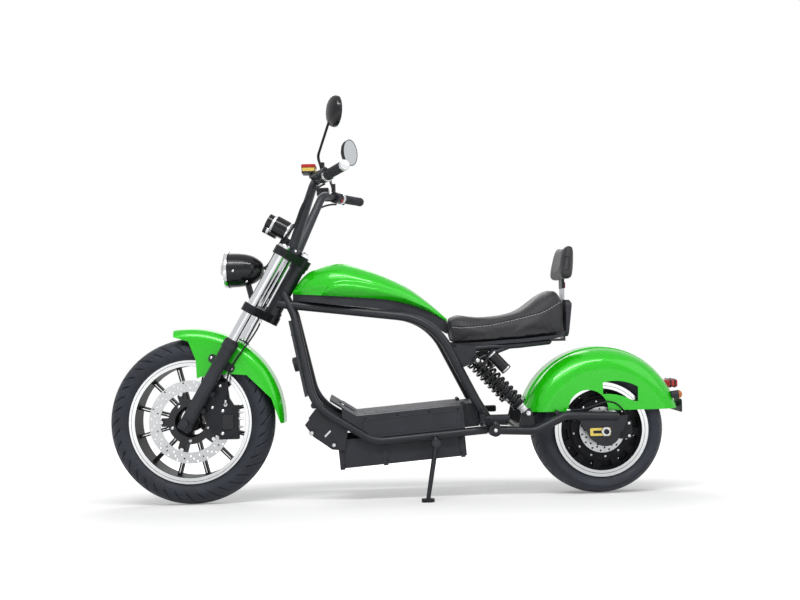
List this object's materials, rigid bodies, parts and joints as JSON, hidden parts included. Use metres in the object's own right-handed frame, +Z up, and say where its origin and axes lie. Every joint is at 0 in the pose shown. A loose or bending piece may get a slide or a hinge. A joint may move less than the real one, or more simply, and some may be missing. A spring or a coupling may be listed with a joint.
{
  "type": "electric chopper scooter",
  "caption": "Electric chopper-style scooter with raked fork, wide rear hub-motor wheel, looped tube frame, deck battery, tank, low seat with backrest and side stand.",
  "frame": {"origin": "on the ground under the middle of the leaning machine, midway along its length and width", "axes": "+X forward along the wheelbase, +Y to the rider's left, +Z up; the machine leans to +Y on its side stand"},
  "size_m": [2.0283, 0.7704, 1.3777],
  "materials": {
    "green_paint": "clear-coated bright green",
    "black_paint": "satin black powder coat",
    "tyre": "matte black",
    "chrome": "polished",
    "mirror_glass": "silvered",
    "lamp_glass": "clear",
    "red_lens": "red lens",
    "disc_steel": "ground",
    "bright_steel": "bright",
    "seat_leather": "soft grained",
    "grip_rubber": "ribbed",
    "black_rubber": "smooth",
    "black_plastic": "fine texture",
    "deck_plastic": "ribbed mat",
    "battery_grey": "plain",
    "black_gloss": "gloss",
    "wheel_black": "black coated",
    "black_alloy": "black anodised"
  },
  "bodies": {
    "frame": {"head_tube": "black_paint", "upper_loops": "black_paint", "lower_cradles": "black_paint", "cross_members": "black_paint", "seat_frame": "black_paint", "neck_panel": "black_plastic", "tank": "green_paint", "tank_trim": "black_plastic", "seat_base": "black_plastic", "seat_pad": "seat_leather", "seat_shell": "black_plastic", "backrest_stay": "bright_steel", "backrest_pad": "seat_leather", "battery_case": "black_paint", "battery": "battery_grey", "deck_case": "black_plastic", "swingarm": "black_paint", "shocks": "black_paint", "shock_springs": "black_paint", "rear_fender": "green_paint", "tail_lamp": "red_lens", "rear_indicators": "black_plastic", "plate_bracket": "black_plastic", "rear_axle": "bright_steel", "rear_caliper": "black_alloy", "rear_hose": "black_rubber"},
    "steering": {"fork_clamps": "black_alloy", "stanchions": "chrome", "sliders": "black_paint", "front_fender": "green_paint", "front_axle": "bright_steel", "front_caliper": "black_alloy", "headlamp": "black_gloss", "headlamp_lens": "lamp_glass", "handlebar": "black_paint", "grips": "grip_rubber", "controls": "black_plastic", "mirrors": "black_plastic", "mirror_glass": "mirror_glass", "gauge_pod": "black_gloss", "front_hose": "black_rubber", "loom": "black_rubber"},
    "front_wheel": {"front_rim": "wheel_black", "front_tyre": "tyre", "front_disc": "disc_steel"},
    "rear_wheel": {"rear_rim": "wheel_black", "rear_tyre": "tyre", "rear_disc": "disc_steel"},
    "side_stand": {"side_stand": "black_paint"},
    "deck_lid": {"deck_lid": "deck_plastic"},
    "peg_left": {"peg_left": "black_paint"},
    "peg_right": {"peg_right": "black_paint"}
  },
  "joints": [
    {"name": "steering", "type": "hinge", "parent": "frame", "child": "steering", "pos_m": [0.38531, -0.05131, 0.74331], "axis": [-0.5, 0.0905, 0.8613], "range_deg": [-31, 39]},
    {"name": "front_wheel_spin", "type": "hinge", "parent": "steering", "child": "front_wheel", "pos_m": [0.71887, -0.10307, 0.2922], "axis": [0.0604, 0.9957, -0.0696], "continuous": true},
    {"name": "rear_wheel_spin", "type": "hinge", "parent": "frame", "child": "rear_wheel", "pos_m": [-0.719, -0.10488, 0.23364], "axis": [0, 0.9945, -0.1045], "continuous": true},
    {"name": "side_stand_fold", "type": "hinge", "parent": "frame", "child": "side_stand", "pos_m": [-0.132, 0.04153, 0.19161], "axis": [0, 0.9703, 0.2419], "range_deg": [0, 98]},
    {"name": "deck_lid_open", "type": "hinge", "parent": "frame", "child": "deck_lid", "pos_m": [-0.23052, -0.09388, 0.33836], "axis": [0, -0.9945, 0.1045], "range_deg": [0, 30]},
    {"name": "peg_left_fold", "type": "hinge", "parent": "frame", "child": "peg_left", "pos_m": [-0.292, 0.06821, 0.27327], "axis": [0, -0.1045, -0.9945], "range_deg": [0, 90]},
    {"name": "peg_right_fold", "type": "hinge", "parent": "frame", "child": "peg_right", "pos_m": [-0.292, -0.26595, 0.30839], "axis": [0, 0.1045, 0.9945], "range_deg": [0, 90]}
  ]
}
